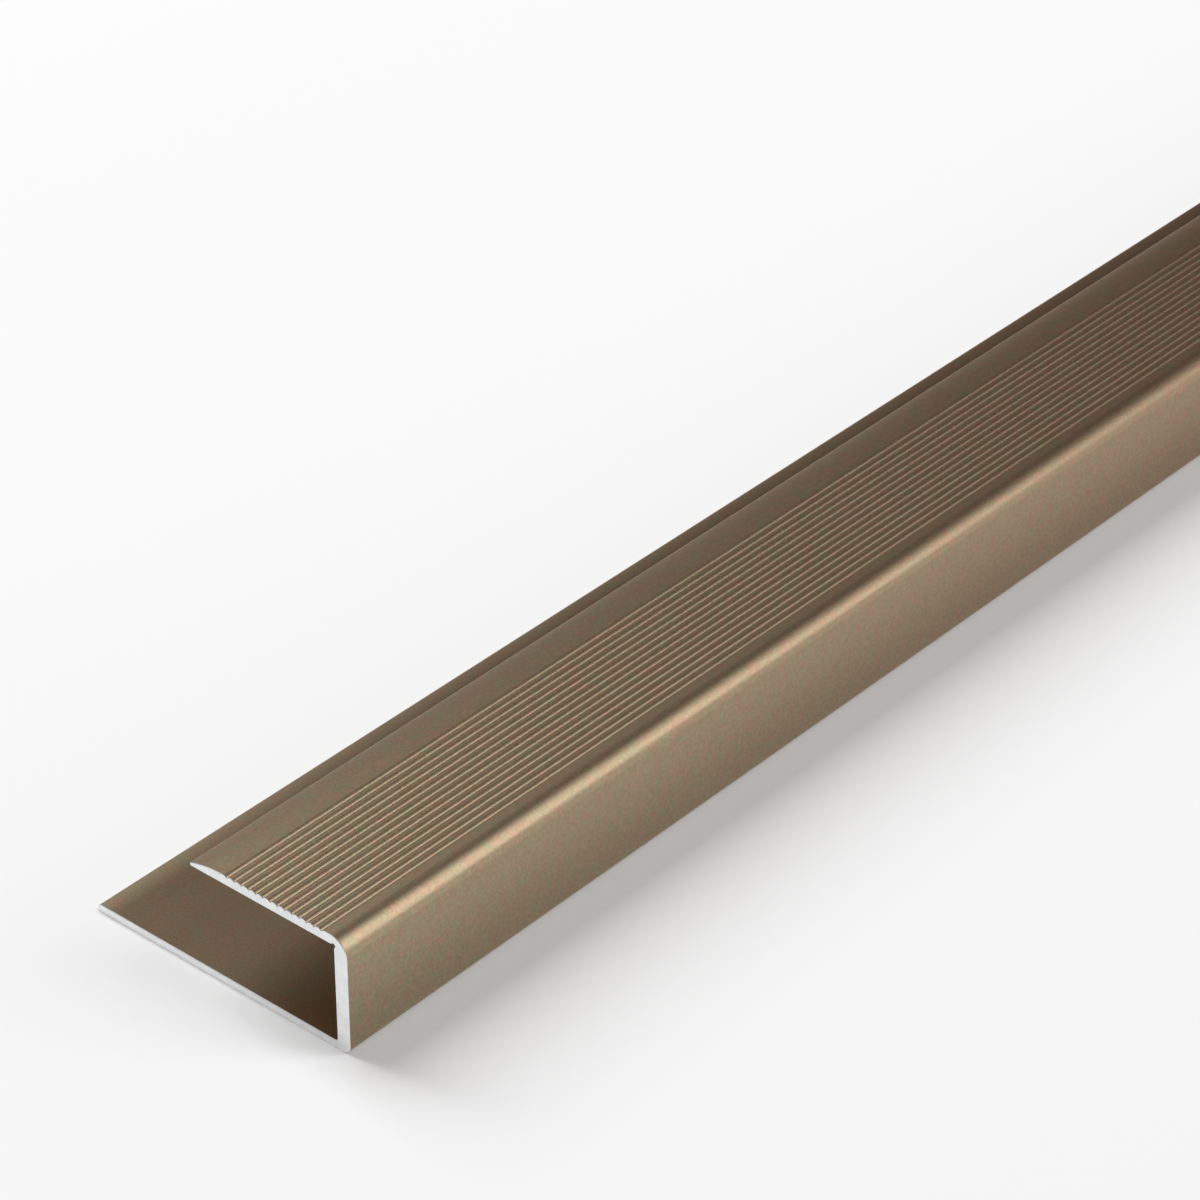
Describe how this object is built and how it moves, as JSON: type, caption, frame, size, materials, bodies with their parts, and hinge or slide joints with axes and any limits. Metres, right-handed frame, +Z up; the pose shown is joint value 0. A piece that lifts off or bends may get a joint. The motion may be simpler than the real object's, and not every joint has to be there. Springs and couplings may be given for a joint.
{
  "type": "edge trim profile",
  "caption": "U-shaped extruded aluminium edge trim for board floors: wide thin bottom leg, upright web, rounded shoulder and shorter top leg with fine grip ribs along it.",
  "frame": {"origin": "middle of the underside, half way along the length and half way across the section", "axes": "+Y along the length, +X across the section towards the web's outer face, +Z up from the bottom leg to the ribbed top leg"},
  "size_m": [0.0334, 0.9, 0.0131],
  "materials": {
    "anodised_bronze": "satin bronze anodising on the drawn faces, bare bright metal on the two sawn ends"
  },
  "bodies": {
    "root": {"trim_profile": "anodised_bronze"}
  },
  "joints": []
}
